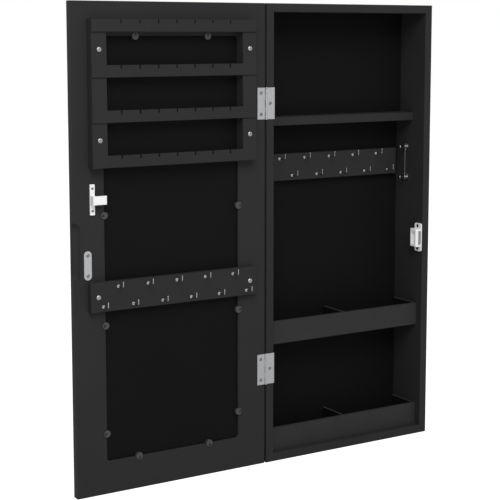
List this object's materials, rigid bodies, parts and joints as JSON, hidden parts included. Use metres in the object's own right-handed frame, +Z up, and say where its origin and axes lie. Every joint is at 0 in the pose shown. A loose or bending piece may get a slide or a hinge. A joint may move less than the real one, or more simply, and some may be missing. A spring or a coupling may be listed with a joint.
{
  "type": "jewelry mirror cabinet",
  "caption": "Wall-mounted black jewellery cabinet with a mirror door on butt hinges, shelves, trays, hook boards and an earring rack.",
  "frame": {"origin": "middle of the cabinet's back face, on the wall plane", "axes": "+X to the cabinet's right as seen from the front, +Y into the wall, +Z up; the door is folded right back to the left"},
  "size_m": [0.603, 0.097, 0.67],
  "materials": {
    "black_board": "matte black foil on fibreboard",
    "black_back_panel": "matte black thin fibreboard",
    "black_backing": "matte black thin fibreboard",
    "mirror": "silvered glass",
    "grey_plastic": "moulded grey",
    "white_plastic": "moulded white",
    "magnet_grey": "sintered ferrite",
    "zinc_steel": "bright zinc plate",
    "hinge_steel": "satin nickel plate",
    "chrome_wire": "chrome plate",
    "screw_steel": "bright zinc plate",
    "dowel_wood": "plain beech"
  },
  "bodies": {
    "cabinet": {"back_panel": "black_back_panel", "back_panel_nails": "screw_steel", "bottom_board": "black_board", "cabinet_hinge_screws": "screw_steel", "cabinet_hook_board": "black_board", "cabinet_hooks": "chrome_wire", "carcass_dowels": "dowel_wood", "catch_housing": "white_plastic", "catch_magnet": "magnet_grey", "catch_pole_plates": "zinc_steel", "catch_screws": "screw_steel", "hanging_bar": "chrome_wire", "hanging_bar_lower_post": "chrome_wire", "hanging_bar_upper_post": "chrome_wire", "hanging_board": "black_board", "hook_board_back_screws": "screw_steel", "left_side": "black_board", "lower_hinge_cabinet_leaf": "hinge_steel", "lower_hinge_pin": "hinge_steel", "lower_tray_divider": "black_board", "lower_tray_front": "black_board", "lower_tray_left_end": "black_board", "lower_tray_right_end": "black_board", "right_side": "black_board", "shelf": "black_board", "top_board": "black_board", "upper_hinge_cabinet_leaf": "hinge_steel", "upper_hinge_pin": "hinge_steel", "upper_tray_divider": "black_board", "upper_tray_floor": "black_board", "upper_tray_front": "black_board", "upper_tray_left_end": "black_board", "upper_tray_right_end": "black_board", "wall_hanger_screws": "screw_steel", "wall_hangers": "zinc_steel"},
    "door": {"door_frame": "black_board", "door_hinge_screws": "screw_steel", "door_hook_board": "black_board", "door_hook_board_screws": "screw_steel", "door_hooks": "chrome_wire", "earring_rack_head_strip": "black_board", "earring_rack_left_upright": "black_board", "earring_rack_right_upright": "black_board", "earring_rack_screws": "screw_steel", "earring_rack_tier_1": "black_board", "earring_rack_tier_2": "black_board", "earring_rack_tier_3": "black_board", "lower_hinge_door_leaf": "hinge_steel", "mirror_backing": "black_backing", "mirror_clip_screws": "screw_steel", "mirror_clips": "grey_plastic", "mirror_glass": "mirror", "strike_plate": "zinc_steel", "strike_screws": "screw_steel", "tongue_hook": "white_plastic", "tongue_hook_screws": "screw_steel", "upper_hinge_door_leaf": "hinge_steel"}
  },
  "joints": [
    {"name": "door_hinge", "type": "hinge", "parent": "cabinet", "child": "door", "pos_m": [-0.1515, -0.072, 0], "axis": [0, 0, 1], "range_deg": [0, 180]}
  ]
}
